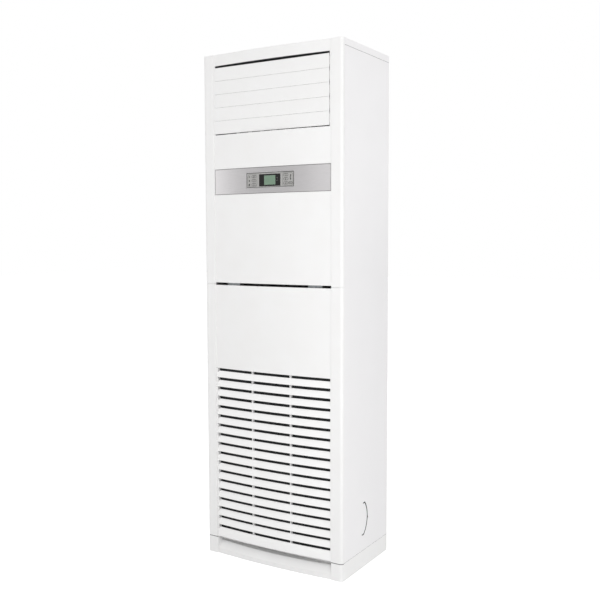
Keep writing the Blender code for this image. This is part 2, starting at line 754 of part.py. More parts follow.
def make_outlet_duct():
    """The tube behind the outlet, with the bearing holes of the vanes in its two sides."""
    wall_half = OUTLET_HALF + DUCT_WALL
    front = FRONT_BOW.points(wall_half, FRONT_WALL + GAP)
    plan = front + [(wall_half, POST_Y + DUCT_BACK), (-wall_half, POST_Y + DUCT_BACK)]
    duct = extrude_outlines("outlet_duct", [plan], OUTLET_LOW - DUCT_WALL, OUTLET_HIGH + DUCT_WALL)
    bore = (
        (-OUTLET_HALF, FRONT_Y - DUCT_WALL, OUTLET_LOW),
        (OUTLET_HALF, POST_Y + DUCT_BACK + DUCT_WALL, OUTLET_HIGH),
    )
    cut(duct, add_boxes("outlet_duct_bore", [bore]))
    rods = []
    for row in range(VANE_COUNT):
        up = OUTLET_LOW + VANE_LOW_CLEARANCE + VANE_PITCH * (row + 0.5)
        rods.append((-wall_half - DUCT_WALL, -OUTLET_HALF + DUCT_WALL, VANE_AXIS_Y, up))
        rods.append((OUTLET_HALF - DUCT_WALL, wall_half + DUCT_WALL, VANE_AXIS_Y, up))
    cut(duct, add_rods("vane_bearings", rods, VANE_PIN_RADIUS + GAP))
    as_part(duct, "grey_plastic")


def make_deflectors():
    """Upright blades across the duct, held by one bar through them all."""
    front = POST_Y + DEFLECTOR_FRONT
    back = front + DEFLECTOR_DEPTH
    middle = (OUTLET_LOW + OUTLET_HIGH) / 2
    spacing = 2 * OUTLET_HALF / DEFLECTOR_COUNT
    spots = [spacing * (blade - (DEFLECTOR_COUNT - 1) / 2) for blade in range(DEFLECTOR_COUNT)]
    half = DEFLECTOR_THICKNESS / 2
    blades = [
        ((spot - half, front, OUTLET_LOW + GAP), (spot + half, back, OUTLET_HIGH - GAP)) for spot in spots
    ]
    comb = add_boxes("outlet_deflectors", blades)
    bar_reach = spots[-1] + DEFLECTOR_BAR
    bar = (
        (-bar_reach, back - 2 * DEFLECTOR_BAR, middle - DEFLECTOR_BAR / 2),
        (bar_reach, back - DEFLECTOR_BAR, middle + DEFLECTOR_BAR / 2),
    )
    fuse(comb, add_boxes("deflector_bar", [bar]))
    as_part(comb, "grey_plastic")


def make_coil():
    """The leaning fin block between two end plates, with the bends of its tubes outside them."""
    fin_half = HALF_WIDTH - SHEET - GAP - COIL_END_SPACE
    deep = COIL_THICKNESS / 2
    turn = Matrix.Rotation(-COIL_LEAN, 4, "X")
    place = Matrix.Translation((0, POST_Y + COIL_BASE_DEPTH, COIL_BASE_HEIGHT)) @ turn
    block = add_boxes("evaporator_coil", [((-fin_half, -deep, 0), (fin_half, deep, COIL_LENGTH))])
    plate_deep = deep + COIL_PLATE_MARGIN
    plates = [
        ((-fin_half - COIL_END_PLATE, -plate_deep, 0), (-fin_half + COIL_END_PLATE, plate_deep, COIL_LENGTH)),
        ((fin_half - COIL_END_PLATE, -plate_deep, 0), (fin_half + COIL_END_PLATE, plate_deep, COIL_LENGTH)),
    ]
    end_plates = add_boxes("coil_end_plates", plates)
    tube_end = fin_half + COIL_END_SPACE
    inside = fin_half - COIL_END_SPACE
    rods = []
    for row in range(TUBE_ROWS):
        up = COIL_LENGTH * (row + 0.5) / TUBE_ROWS
        for column in (-deep / 2, deep / 2):
            rods.append((-tube_end, -inside, column, up))
            rods.append((inside, tube_end, column, up))
    tubes = add_rods("coil_tubes", rods, TUBE_RADIUS, TUBE_SIDES)
    for piece in (block, end_plates, tubes):
        piece.matrix_world = place
    fuse(block, end_plates)
    fuse(block, tubes)
    as_part(block, "aluminium")


def make_drain_pan():
    """The tray under the coil, hung between the two sides."""
    half = HALF_WIDTH - SHEET - GAP
    high = COIL_BASE_HEIGHT - GAP - (COIL_THICKNESS / 2 + COIL_PLATE_MARGIN) * math.sin(COIL_LEAN)
    low = high - PAN_HEIGHT
    front = POST_Y + PAN_FRONT
    back = POST_Y + PAN_BACK
    pan = add_boxes("drain_pan", [((-half, front, low), (half, back, high))])
    inside = (
        (-half + PAN_WALL, front + PAN_WALL, low + PAN_WALL),
        (half - PAN_WALL, back - PAN_WALL, high + PAN_WALL),
    )
    as_part(cut(pan, add_boxes("drain_pan_inside", [inside])), "galvanised")


def main():
    make_plinth()
    make_side_panel("left_side_panel", -1)
    make_side_panel("right_side_panel", 1)
    make_rear_panel()
    make_top_cover()
    make_upper_front()
    make_lower_front()
    make_catches()
    make_grille()
    make_filters()
    make_controls()
    for number in range(1, VANE_COUNT + 1):
        make_vane(number)
    make_outlet_duct()
    make_deflectors()
    make_coil()
    make_drain_pan()


main()
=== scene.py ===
import json
import math

import bpy
from mathutils import Matrix, Vector


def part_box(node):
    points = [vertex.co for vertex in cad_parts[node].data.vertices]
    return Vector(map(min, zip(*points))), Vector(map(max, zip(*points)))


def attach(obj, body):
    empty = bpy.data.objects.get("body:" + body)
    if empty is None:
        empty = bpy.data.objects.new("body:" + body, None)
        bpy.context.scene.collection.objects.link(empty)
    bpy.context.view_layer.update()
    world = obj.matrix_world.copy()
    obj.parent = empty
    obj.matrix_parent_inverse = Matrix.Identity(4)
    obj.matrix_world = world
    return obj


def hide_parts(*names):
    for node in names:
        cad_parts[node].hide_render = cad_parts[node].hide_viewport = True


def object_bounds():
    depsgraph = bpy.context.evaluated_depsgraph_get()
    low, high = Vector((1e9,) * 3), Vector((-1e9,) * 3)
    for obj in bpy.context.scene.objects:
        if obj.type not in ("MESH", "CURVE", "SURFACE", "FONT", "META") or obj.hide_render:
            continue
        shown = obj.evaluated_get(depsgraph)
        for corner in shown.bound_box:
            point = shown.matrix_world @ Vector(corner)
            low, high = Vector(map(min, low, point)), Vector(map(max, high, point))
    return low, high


# Floor standing air conditioner: finishes, eased edges, printed marks, fasteners, light and camera.
# Lengths are in metres unless a name says mm. The cabinet faces -Y and stands on z = 0.

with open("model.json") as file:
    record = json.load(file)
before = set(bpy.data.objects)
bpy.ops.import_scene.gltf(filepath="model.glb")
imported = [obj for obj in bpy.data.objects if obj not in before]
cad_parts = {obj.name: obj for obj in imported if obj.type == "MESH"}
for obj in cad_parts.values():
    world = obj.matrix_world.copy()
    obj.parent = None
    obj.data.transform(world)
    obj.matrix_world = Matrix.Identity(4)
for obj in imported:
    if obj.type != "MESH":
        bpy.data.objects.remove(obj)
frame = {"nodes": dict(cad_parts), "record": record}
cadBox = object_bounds()
cabinetLow, cabinetHigh = cadBox
print("frame loaded:", len(frame["nodes"]), "nodes")


# Small helpers

def selectOnly(piece):
    bpy.ops.object.select_all(action="DESELECT")
    piece.select_set(True)
    bpy.context.view_layer.objects.active = piece


def applyAll(piece):
    selectOnly(piece)
    for modifier in list(piece.modifiers):
        bpy.ops.object.modifier_apply(modifier=modifier.name)


def joinPieces(pieces, name):
    bpy.ops.object.select_all(action="DESELECT")
    for piece in pieces:
        piece.select_set(True)
    bpy.context.view_layer.objects.active = pieces[0]
    if len(pieces) > 1:
        bpy.ops.object.join()
    joined = bpy.context.view_layer.objects.active
    joined.name = name
    bpy.ops.object.transform_apply(location=True, rotation=True, scale=True)
    return joined


bowRadius = 2.7298  # of the front in plan


def bowSetback(across):
    # how far the bowed front has gone back at that distance from the middle
    return bowRadius - math.sqrt(bowRadius ** 2 - across ** 2)


def linear(code):
    channels = [int(code[place:place + 2], 16) / 255 for place in (1, 3, 5)]
    return tuple(c / 12.92 if c <= 0.04045 else ((c + 0.055) / 1.055) ** 2.4 for c in channels) + (1.0,)


def perMetre(millimetres):
    return 1000 / millimetres  # a noise cell of that size


def addNode(tree, kind, settings=None, links=None):
    node = tree.nodes.new(kind)
    for key, value in (settings or {}).items():
        if isinstance(key, str) and hasattr(node, key):
            setattr(node, key, value)
        else:
            node.inputs[key].default_value = value
    for key, socket in (links or {}).items():
        tree.links.new(socket, node.inputs[key])
    return node


def newMaterial(name, settings):
    material = bpy.data.materials.new(name)
    material.use_nodes = True
    tree = material.node_tree
    tree.nodes.clear()
    shader = addNode(tree, "ShaderNodeBsdfPrincipled", settings)
    addNode(tree, "ShaderNodeOutputMaterial", links={"Surface": shader.outputs[0]})
    place = addNode(tree, "ShaderNodeTexCoord").outputs["Object"]
    return material, tree, shader, place


def noiseAt(tree, place, cellMm, detail=2.0, stretch=(1, 1, 1)):
    scaled = addNode(tree, "ShaderNodeMapping", {"Scale": stretch}, {"Vector": place})
    return addNode(
        tree, "ShaderNodeTexNoise", {"Scale": perMetre(cellMm), "Detail": detail},
        {"Vector": scaled.outputs[0]},
    ).outputs["Fac"]


def spread(tree, factor, low, high):
    # turns a 0 to 1 pattern into a value from low to high
    return addNode(
        tree, "ShaderNodeMapRange", {"From Min": 0.3, "From Max": 0.7, "To Min": low, "To Max": high},
        {"Value": factor},
    ).outputs[0]


def blendColours(tree, factor, first, second):
    mix = addNode(tree, "ShaderNodeMix", {"data_type": "RGBA", 6: linear(first), 7: linear(second)})
    tree.links.new(factor, mix.inputs[0])
    return mix.outputs[2]


def bumpFrom(tree, shader, height, depthMm, strength=1.0):
    bump = addNode(
        tree, "ShaderNodeBump", {"Strength": strength, "Distance": depthMm / 1000}, {"Height": height},
    )
    tree.links.new(bump.outputs[0], shader.inputs["Normal"])


# Finishes

def mouldedAbs(name="injectionMouldedAbs", white="#EFEFEF", whiteWarm="#ECEBEA"):
    # ABS, injection moulded in a spark eroded tool: a soft sheen over a very fine matt grain
    look = {"grainMm": 1.1, "flowMm": 70, "white": white, "whiteWarm": whiteWarm}
    material, tree, shader, place = newMaterial(name, {"IOR": 1.54, "Metallic": 0.0})
    flow = noiseAt(tree, place, look["flowMm"])
    grain = noiseAt(tree, place, look["grainMm"], 1.0)  # real grain is 0.1 mm, drawn coarser so that it shows
    tree.links.new(blendColours(tree, flow, look["white"], look["whiteWarm"]), shader.inputs["Base Color"])
    tree.links.new(spread(tree, flow, 0.36, 0.44), shader.inputs["Roughness"])
    bumpFrom(tree, shader, grain, 0.012, 0.5)
    return material


def powderCoat():
    # polyester powder coat baked on steel sheet: even satin white with a shallow orange peel
    look = {"peelMm": 2.4, "patchMm": 120, "white": "#EFEEEF", "whiteDeep": "#EDECED"}
    material, tree, shader, place = newMaterial("powderCoatedSteel", {"IOR": 1.5, "Metallic": 0.0})
    patch = noiseAt(tree, place, look["patchMm"])
    peel = noiseAt(tree, place, look["peelMm"], 0.0)
    tree.links.new(blendColours(tree, patch, look["white"], look["whiteDeep"]), shader.inputs["Base Color"])
    tree.links.new(spread(tree, patch, 0.33, 0.40), shader.inputs["Roughness"])
    bumpFrom(tree, shader, peel, 0.03, 0.5)
    return material


def brushedFilm():
    # hot stamped silver film, brushed from side to side: streaks along X and a highlight that spreads up and down
    look = {"streakMm": 1.6, "streakLength": 0.018, "dark": "#A8A6A7", "light": "#B8B6B7"}
    material, tree, shader, place = newMaterial(
        "brushedSilverFilm", {"Metallic": 0.85, "Anisotropic": 0.7, "Anisotropic Rotation": 0.25},
    )
    streak = noiseAt(tree, place, look["streakMm"], 3.0, (look["streakLength"], 1, 1))
    tree.links.new(blendColours(tree, streak, look["dark"], look["light"]), shader.inputs["Base Color"])
    tree.links.new(spread(tree, streak, 0.30, 0.38), shader.inputs["Roughness"])
    tangent = addNode(tree, "ShaderNodeTangent", {"direction_type": "RADIAL", "axis": "Z"})
    tree.links.new(tangent.outputs[0], shader.inputs["Tangent"])
    bumpFrom(tree, shader, streak, 0.01, 0.4)
    return material


def screenPrintedOverlay():
    # polycarbonate overlay, screen printed silver grey on its back: flat colour under a velvet textured face
    look = {"velvetMm": 1.4, "grey": "#A5A4A2", "greyDark": "#9F9E9C"}
    material, tree, shader, place = newMaterial("printedPolycarbonate", {"IOR": 1.58, "Metallic": 0.0})
    velvet = noiseAt(tree, place, look["velvetMm"], 1.0)
    tree.links.new(blendColours(tree, velvet, look["grey"], look["greyDark"]), shader.inputs["Base Color"])
    tree.links.new(spread(tree, velvet, 0.42, 0.5), shader.inputs["Roughness"])
    bumpFrom(tree, shader, velvet, 0.01, 0.4)
    return material


def blackAcrylic():
    # cast acrylic, polished black: deep colour and a clear reflection with a trace of handling haze
    look = {"hazeMm": 9, "black": "#0B0B0A", "blackSoft": "#11110F"}
    material, tree, shader, place = newMaterial("polishedBlackAcrylic", {"IOR": 1.38, "Metallic": 0.0})
    haze = noiseAt(tree, place, look["hazeMm"])
    tree.links.new(blendColours(tree, haze, look["black"], look["blackSoft"]), shader.inputs["Base Color"])
    tree.links.new(spread(tree, haze, 0.08, 0.16), shader.inputs["Roughness"])
    return material


def reflectiveDisplay():
    # liquid crystal glass over a green reflector: flat soft green under a smooth front
    look = {"cloudMm": 14, "green": "#728B77", "greenLight": "#78917D"}
    material, tree, shader, place = newMaterial("liquidCrystalGlass", {"IOR": 1.45, "Metallic": 0.0})
    cloud = noiseAt(tree, place, look["cloudMm"])
    tree.links.new(blendColours(tree, cloud, look["green"], look["greenLight"]), shader.inputs["Base Color"])
    tree.links.new(spread(tree, cloud, 0.12, 0.2), shader.inputs["Roughness"])
    return material


def wovenFilter():
    # polypropylene filter net, woven from dark thread: a matt grid of threads, with painted shade in the holes
    # between them
    look = {"pitchMm": 1.5, "thread": "#2E2F31", "hole": "#0A0A0B"}
    material, tree, shader, place = newMaterial("wovenFilterNet", {"IOR": 1.49, "Metallic": 0.0, "Roughness": 0.75})
    waves = {
        axis: addNode(
            tree, "ShaderNodeTexWave",
            {"bands_direction": axis, "Scale": math.tau / 20 * perMetre(look["pitchMm"])}, {"Vector": place},
        ).outputs["Fac"]
        for axis in ("X", "Z")
    }
    threads = addNode(tree, "ShaderNodeMath", {"operation": "MAXIMUM"}, {0: waves["X"], 1: waves["Z"]}).outputs[0]
    tree.links.new(blendColours(tree, threads, look["hole"], look["thread"]), shader.inputs["Base Color"])
    bumpFrom(tree, shader, threads, 0.3, 0.8)
    return material


def greyPolypropylene():
    # polypropylene, injection moulded in mid grey: dull and slightly waxy
    look = {"grainMm": 1.3, "grey": "#57595B", "greyDark": "#4F5153"}
    material, tree, shader, place = newMaterial("mouldedGreyPolypropylene", {"IOR": 1.49, "Metallic": 0.0})
    grain = noiseAt(tree, place, look["grainMm"])
    tree.links.new(blendColours(tree, grain, look["grey"], look["greyDark"]), shader.inputs["Base Color"])
    tree.links.new(spread(tree, grain, 0.5, 0.62), shader.inputs["Roughness"])
    bumpFrom(tree, shader, grain, 0.02, 0.5)
    return material


def finnedAluminium():
    # rolled aluminium fins pressed on tubes: bright edges, with painted shade for the air gaps between them
    look = {"pitchMm": 1.8, "edge": "#D3D6D8", "gap": "#3A3D40"}
    material, tree, shader, place = newMaterial("rolledAluminiumFins", {"Metallic": 0.9, "Roughness": 0.38})
    fins = addNode(
        tree, "ShaderNodeTexWave",
        {"bands_direction": "X", "Scale": math.tau / 20 * perMetre(look["pitchMm"])}, {"Vector": place},
    ).outputs["Fac"]
    tree.links.new(blendColours(tree, fins, look["gap"], look["edge"]), shader.inputs["Base Color"])
    bumpFrom(tree, shader, fins, 0.8, 1.0)
    return material


def galvanisedSheet():
    # hot dip galvanised steel: grey zinc crystals that catch the light differently
    look = {"spangleMm": 9, "zinc": "#A9ADAF", "zincDark": "#8E9295"}
    material, tree, shader, place = newMaterial("hotDipGalvanisedSteel", {"Metallic": 0.9})
    spangle = addNode(
        tree, "ShaderNodeTexVoronoi", {"Scale": perMetre(look["spangleMm"])}, {"Vector": place},
    ).outputs["Color"]
    shade = addNode(tree, "ShaderNodeSeparateColor", links={0: spangle}).outputs[0]
    tree.links.new(blendColours(tree, shade, look["zincDark"], look["zinc"]), shader.inputs["Base Color"])
    tree.links.new(spread(tree, shade, 0.38, 0.52), shader.inputs["Roughness"])
    return material


def zincPlate():
    # bright zinc plated steel screw: cool grey metal with fine turning marks
    look = {"turningMm": 0.8, "zinc": "#C6C9CB", "zincDark": "#A4A8AB"}
    material, tree, shader, place = newMaterial("zincPlatedSteel", {"Metallic": 1.0})
    turning = noiseAt(tree, place, look["turningMm"])
    tree.links.new(blendColours(tree, turning, look["zincDark"], look["zinc"]), shader.inputs["Base Color"])
    tree.links.new(spread(tree, turning, 0.25, 0.4), shader.inputs["Roughness"])
    return material


def foamShadeFinish():
    # polyethylene foam, skived from a block: matt charcoal, pitted by cut cells. Every piece made of it is a dark
    # fill laid as painted shade in slits and seams
    look = {"cellMm": 1.6, "charcoal": "#2A2B2D", "pit": "#161618"}
    material, tree, shader, place = newMaterial(
        "skivedFoamAsPaintedShade", {"IOR": 1.5, "Metallic": 0.0, "Roughness": 0.9},
    )
    cells = noiseAt(tree, place, look["cellMm"], 1.0)
    tree.links.new(blendColours(tree, cells, look["pit"], look["charcoal"]), shader.inputs["Base Color"])
    bumpFrom(tree, shader, cells, 0.3, 0.7)
    return material


def printingInk(name, colour, colourThin):
    # screen ink: matt, a little uneven where the mesh left it thin
    material, tree, shader, place = newMaterial(name, {"IOR": 1.5, "Metallic": 0.0})
    cover = noiseAt(tree, place, 1.2)
    tree.links.new(blendColours(tree, cover, colour, colourThin), shader.inputs["Base Color"])
    tree.links.new(spread(tree, cover, 0.5, 0.6), shader.inputs["Roughness"])
    return material


finishes = {
    "white_abs": mouldedAbs(),
    "white_steel": powderCoat(),
    "silver_band": brushedFilm(),
    "grey_overlay": screenPrintedOverlay(),
    "black_gloss": blackAcrylic(),
    "lcd_green": reflectiveDisplay(),
    "dark_mesh": wovenFilter(),
    "grey_plastic": greyPolypropylene(),
    "aluminium": finnedAluminium(),
    "galvanised": galvanisedSheet(),
}
nodeSlots = {row["node"]: row["material_slot"] for row in frame["record"]["subparts"]}
nodeBodies = {
    node: body
    for body, members in frame["record"]["behaviour"]["bodies"].items()
    for node in members
}
for node, solid in frame["nodes"].items():
    solid.data.materials.clear()
    solid.data.materials.append(finishes[nodeSlots[node]])
addedFinishes = {
    "grille": mouldedAbs("grilleAbsWhitenedAsPaintedLight", "#F4F4F4", "#F2F1F0"),  # a whiter copy of the ABS as painted light, standing for the extra light that the up-facing slats catch from above
    "zinc": zincPlate(),
    # dark foam for the pieces that paint shade into slits and seams
    "foam": foamShadeFinish(),
}
frame["nodes"]["intake_grille"].data.materials[0] = addedFinishes["grille"]
print("finishes made:", len(finishes) + len(addedFinishes))


# The mouldings and sheets that show: copies of the solids with eased edges

dressing = {
    "weld": 0.00002,
    "flatAngle": math.radians(0.15),
    "sharpAngle": math.radians(30),
    "smoothAngle": math.radians(30),
    # edge radius, and the segments that round it
    "edges": {
        "base_plinth": (0.0008, 2),
        "left_side_panel": (0.0005, 2),
        "right_side_panel": (0.0005, 2),
        "rear_panel": (0.0004, 2),
        "top_cover": (0.0005, 2),
        "upper_front_panel": (0.0006, 2),
        "lower_front_panel": (0.0006, 2),
        "intake_grille": (0.0004, 2),
        "control_band": (0.0002, 2),
        "control_panel": (0.0002, 2),
        "display_bezel": (0.0002, 2),
        "display_window": (0.0001, 2),
        "vane_1": (0.0004, 2),
        "vane_2": (0.0004, 2),
        "vane_3": (0.0004, 2),
        "vane_4": (0.0004, 2),
        "vane_5": (0.0004, 2),
    },
}


def pieceName(node):
    words = node.split("_")
    return words[0] + "".join(word.capitalize() for word in words[1:])


def openToe(piece):
    # the real recess rises in a short steep scoop before a shelf, where the solid has one shallow slope
    toe = {
        "slice": 0.024, "slices": 9, "backHeight": 0.0315, "near": 0.0002, "before": -0.13,
        "raise": 0.008, "forward": 0.020, "rise": 0.3875, "shelfHeight": 0.0438,
    }
    selectOnly(piece)
    bpy.ops.object.mode_set(mode="EDIT")
    for cut in range(-toe["slices"], toe["slices"] + 1):
        bpy.ops.mesh.select_all(action="SELECT")
        bpy.ops.mesh.bisect(plane_co=(cut * toe["slice"], 0, 0), plane_no=(1, 0, 0))
    bpy.ops.mesh.select_all(action="SELECT")
    bpy.ops.mesh.bisect(plane_co=(0, 0, toe["shelfHeight"]), plane_no=(0, 0, 1))
    bpy.ops.object.mode_set(mode="OBJECT")
    for vertex in piece.data.vertices:
        if abs(vertex.co.z - toe["backHeight"]) < toe["near"] and vertex.co.y < toe["before"]:
            setback = bowSetback(vertex.co.x)
            vertex.co.y += setback - toe["forward"]
            vertex.co.z += toe["raise"] + setback * toe["rise"]


def dressNode(node):
    edge, segments = dressing["edges"][node]
    piece = bpy.data.objects.new(pieceName(node), frame["nodes"][node].data.copy())
    bpy.context.scene.collection.objects.link(piece)
    selectOnly(piece)
    bpy.ops.object.mode_set(mode="EDIT")
    bpy.ops.mesh.select_all(action="SELECT")
    bpy.ops.mesh.remove_doubles(threshold=dressing["weld"])
    bpy.ops.mesh.customdata_custom_splitnormals_clear()
    bpy.ops.mesh.dissolve_limited(angle_limit=dressing["flatAngle"])
    bpy.ops.object.mode_set(mode="OBJECT")
    if node == "base_plinth":
        openToe(piece)
    bevel = piece.modifiers.new("eased edges", "BEVEL")
    bevel.width = edge
    bevel.segments = segments
    bevel.limit_method = "ANGLE"
    bevel.angle_limit = dressing["sharpAngle"]
    bevel.use_clamp_overlap = True
    bevel.harden_normals = False
    applyAll(piece)
    bpy.ops.object.shade_smooth_by_angle(angle=dressing["smoothAngle"])
    weighted = piece.modifiers.new("flat faces stay flat", "WEIGHTED_NORMAL")
    weighted.keep_sharp = True
    applyAll(piece)
    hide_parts(node)
    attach(piece, nodeBodies[node])
    return piece


dressed = {node: dressNode(node) for node in dressing["edges"]}
print("dressed pieces:", {piece.name: len(piece.data.polygons) for piece in dressed.values()})


# Printed marks: flat shapes in the plane y = 0, given the ink's thickness and laid on the bowed front

ink = {
    "thickness": 0.00011,  # half of it stands proud of the face
    "slice": 0.012,  # cut this often, so that a mark can follow the bow
    "slices": 20,
    "cornerSteps": 5,
    "dark": printingInk("darkScreenInk", "#1E1E1E", "#242424"),
    "soft": printingInk("greyScreenInk", "#5E5E5C", "#646462"),
    "silver": printingInk("silverScreenInk", "#8E8E8C", "#959593"),
}


def flatPlate(low, high, corner=0.0):
    bpy.ops.mesh.primitive_plane_add(
        size=1, location=((low[0] + high[0]) / 2, 0, (low[1] + high[1]) / 2), rotation=(math.radians(90), 0, 0),
    )
    plate = bpy.context.view_layer.objects.active
    plate.scale = (high[0] - low[0], high[1] - low[1], 1)
    bpy.ops.object.transform_apply(location=True, rotation=True, scale=True)
    if corner:
        bpy.ops.object.mode_set(mode="EDIT")
        bpy.ops.mesh.select_all(action="SELECT")
        bpy.ops.mesh.bevel(offset=corner, segments=ink["cornerSteps"], affect="VERTICES")
        bpy.ops.object.mode_set(mode="OBJECT")
    return plate


def flatBar(place, size, turn=0.0):
    # a bar size[1] long that leans by turn to the right
    bpy.ops.mesh.primitive_plane_add(
        size=1, location=(place[0], 0, place[1]), rotation=(math.radians(90), math.radians(turn), 0),
    )
    bar = bpy.context.view_layer.objects.active
    bar.scale = (size[0], size[1], 1)
    bpy.ops.object.transform_apply(location=True, rotation=True, scale=True)
    return bar


def flatDisc(place, radius, corners=24, turn=0.0, stretch=1.0):
    bpy.ops.mesh.primitive_circle_add(
        vertices=corners, radius=radius, fill_type="NGON", location=(place[0], 0, place[1]),
        rotation=(math.radians(90), math.radians(turn), 0),
    )
    disc = bpy.context.view_layer.objects.active
    disc.scale = (1, stretch, 1)
    bpy.ops.object.transform_apply(location=True, rotation=True, scale=True)
    return disc


def flatLoop(outer, inner):
    # the band between two outlines that have as many corners
    for outline in (outer, inner):
        selectOnly(outline)
        bpy.ops.object.mode_set(mode="EDIT")
        bpy.ops.mesh.select_all(action="SELECT")
        bpy.ops.mesh.delete(type="ONLY_FACE")
        bpy.ops.object.mode_set(mode="OBJECT")
    loop = joinPieces([outer, inner], "loop")
    bpy.ops.object.mode_set(mode="EDIT")
    bpy.ops.mesh.select_all(action="SELECT")
    bpy.ops.mesh.bridge_edge_loops()
    bpy.ops.object.mode_set(mode="OBJECT")
    return loop


def flatFrame(low, high, line, corner=0.0):
    # line is the width at the left, right, bottom and top
    left, right, bottom, top = line if isinstance(line, tuple) else (line,) * 4
    inside = max(corner - max(left, right, bottom, top), corner * 0.3)
    return flatLoop(
        flatPlate(low, high, corner),
        flatPlate((low[0] + left, low[1] + bottom), (high[0] - right, high[1] - top), inside),
    )


def flatRing(place, radius, line):
    return flatLoop(flatDisc(place, radius), flatDisc(place, radius - line))


def flatWord(word, place, height):
    bpy.ops.object.text_add(rotation=(math.radians(90), 0, 0), location=(place[0], 0, place[1]))
    text = bpy.context.view_layer.objects.active
    text.data.body = word
    text.data.size = height / 0.7  # a capital is 0.7 of the font's size
    text.data.align_x = "CENTER"
    text.data.align_y = "CENTER"
    text.data.resolution_u = 2
    bpy.ops.object.convert(target="MESH")
    bpy.ops.object.transform_apply(location=True, rotation=True, scale=True)
    return text


def around(place, radius, turn):
    return place[0] + radius * math.sin(math.radians(turn)), place[1] + radius * math.cos(math.radians(turn))


def layInk(marks, name, node, material):
    piece = joinPieces(marks, name)
    bpy.ops.object.mode_set(mode="EDIT")
    for cut in range(-ink["slices"], ink["slices"] + 1):
        bpy.ops.mesh.select_all(action="SELECT")
        bpy.ops.mesh.bisect(plane_co=(cut * ink["slice"], 0, 0), plane_no=(1, 0, 0))
    bpy.ops.object.mode_set(mode="OBJECT")
    body = piece.modifiers.new("ink thickness", "SOLIDIFY")
    body.thickness = ink["thickness"]
    body.offset = 0
    applyAll(piece)
    bpy.ops.object.mode_set(mode="EDIT")
    bpy.ops.mesh.select_all(action="SELECT")
    bpy.ops.mesh.normals_make_consistent(inside=False)
    bpy.ops.object.mode_set(mode="OBJECT")
    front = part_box(node)[0].y
    for vertex in piece.data.vertices:
        vertex.co.y += front + bowSetback(vertex.co.x)
    piece.data.materials.clear()
    piece.data.materials.append(material)
    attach(piece, "cabinet")
    return piece


def snowflake(place, reach):
    marks = []
    for turn in range(0, 360, 60):
        marks.append(flatBar(around(place, reach * 0.55, turn), (reach * 0.16, reach * 0.9), turn))
        for side in (-1, 1):
            twig = around(around(place, reach * 0.72, turn), reach * 0.26, turn + 60 * side)
            marks.append(flatBar(twig, (reach * 0.12, reach * 0.34), turn + 60 * side))
    return marks


def fanBlades(place, reach):
    blades = [flatDisc(around(place, reach * 0.58, turn), reach * 0.24, 16, turn + 24, 1.6) for turn in (0, 120, 240)]
    return blades + [flatDisc(place, reach * 0.16, 12)]


def sun(place, reach):
    rays = [
        flatBar(around(place, reach * 0.84, turn), (reach * 0.15, reach * 0.32), turn)
        for turn in range(0, 360, 45)
    ]
    return rays + [flatRing(place, reach * 0.52, reach * 0.17)]


def clockFace(place, reach):
    hour = flatBar(around(place, reach * 0.22, 90), (reach * 0.16, reach * 0.44), 90)
    minute = flatBar(around(place, reach * 0.34, 0), (reach * 0.16, reach * 0.52), 0)
    return [flatRing(place, reach, reach * 0.18), hour, minute]


def tiltedSlats(place, reach):
    rows = [-0.75, -0.25, 0.25, 0.75]
    return [flatBar((place[0], place[1] + row * reach), (reach * 0.17, reach * 1.5), 68) for row in rows]


def nightMoon(place, reach):
    # a crescent: the ring between two discs whose edges nearly touch on the right
    return [flatLoop(flatDisc(place, reach), flatDisc((place[0] + reach * 0.26, place[1]), reach * 0.72))]


# The control panel's keys and marks, and painted shadow lines round the panel and the band

